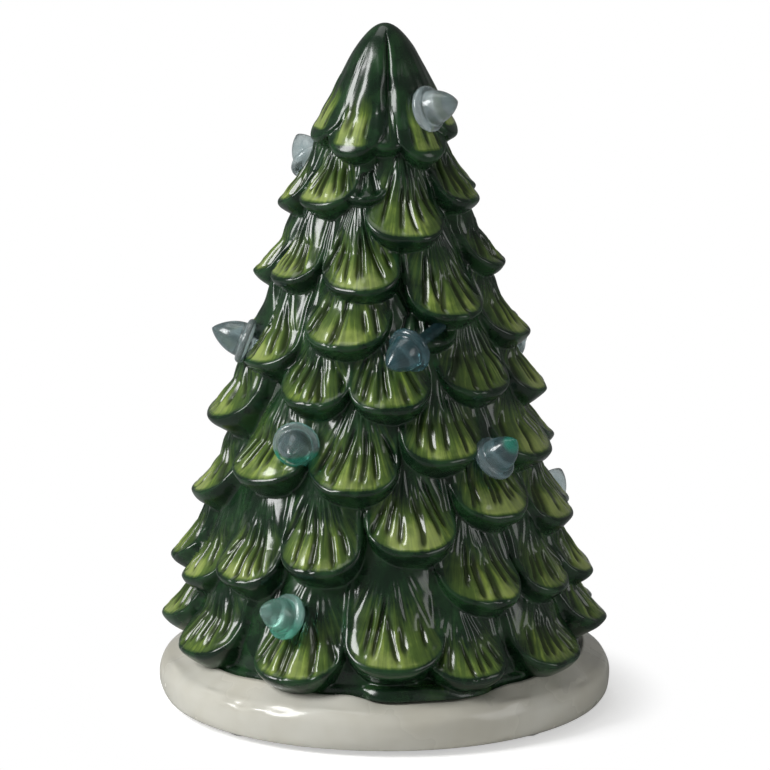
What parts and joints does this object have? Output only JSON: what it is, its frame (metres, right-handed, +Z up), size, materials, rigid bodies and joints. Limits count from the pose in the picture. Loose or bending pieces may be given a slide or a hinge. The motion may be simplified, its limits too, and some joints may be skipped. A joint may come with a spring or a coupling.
{
  "type": "ceramic tree lantern",
  "caption": "Glazed ceramic Christmas tree lantern with overlapping lobes, clear plastic bulbs, a snow-coloured base and a battery light with door and slide switch.",
  "frame": {"origin": "middle of the footprint, on the surface that the lantern stands on", "axes": "+Z up, -Y towards the viewer of the front, +X to that viewer's right"},
  "size_m": [0.119, 0.119, 0.178],
  "materials": {
    "green_glaze": "gloss",
    "snow_glaze": "gloss",
    "bulb_plastic": "gloss",
    "white_plastic": "satin",
    "black_plastic": "satin",
    "clear_silicone": "satin",
    "spring_steel": "satin",
    "cell_sleeve": "satin",
    "board_laminate": "satin",
    "led_resin": "gloss",
    "red_wire": "satin",
    "black_wire": "satin"
  },
  "bodies": {
    "lantern": {"tree_casting": "green_glaze", "snow_base": "snow_glaze", "bulb_01": "bulb_plastic", "bulb_02": "bulb_plastic", "bulb_03": "bulb_plastic", "bulb_04": "bulb_plastic", "bulb_05": "bulb_plastic", "bulb_06": "bulb_plastic", "bulb_07": "bulb_plastic", "bulb_08": "bulb_plastic", "bulb_09": "bulb_plastic", "bulb_10": "bulb_plastic", "bulb_11": "bulb_plastic", "bulb_12": "bulb_plastic", "bulb_13": "bulb_plastic", "bulb_14": "bulb_plastic", "bulb_15": "bulb_plastic", "bulb_16": "bulb_plastic", "bulb_17": "bulb_plastic", "bulb_18": "bulb_plastic", "foot_pad_1": "clear_silicone", "foot_pad_2": "clear_silicone", "foot_pad_3": "clear_silicone", "foot_pad_4": "clear_silicone", "housing_seal": "clear_silicone", "battery_housing": "white_plastic", "housing_cover": "white_plastic", "cover_screw_1": "spring_steel", "cover_screw_2": "spring_steel", "cover_screw_3": "spring_steel", "contact_spring_1": "spring_steel", "contact_spring_2": "spring_steel", "contact_spring_3": "spring_steel", "contact_plate_1": "spring_steel", "contact_plate_2": "spring_steel", "contact_plate_3": "spring_steel", "switch_body": "spring_steel", "aaa_cell_1": "cell_sleeve", "aaa_cell_2": "cell_sleeve", "aaa_cell_3": "cell_sleeve", "led_board": "board_laminate", "led_1": "led_resin", "led_2": "led_resin", "led_3": "led_resin", "light_dome": "led_resin", "wire_black": "black_wire", "wire_red": "red_wire"},
    "battery_door": {"battery_door": "white_plastic"},
    "door_screw": {"door_screw": "spring_steel"},
    "switch_knob": {"switch_knob": "black_plastic"}
  },
  "joints": [
    {"name": "battery_door_hinge", "type": "hinge", "parent": "lantern", "child": "battery_door", "pos_m": [-0.0263, 0, 0.003], "axis": [0, 1, 0], "range_deg": [0, 85]},
    {"name": "door_screw_turn", "type": "hinge", "parent": "battery_door", "child": "door_screw", "pos_m": [0.0307, 0, 0.003], "axis": [0, 0, 1], "continuous": true},
    {"name": "switch_slide", "type": "slide", "parent": "lantern", "child": "switch_knob", "axis": [1, 0, 0], "range_m": [-0.002, 0.002]}
  ]
}
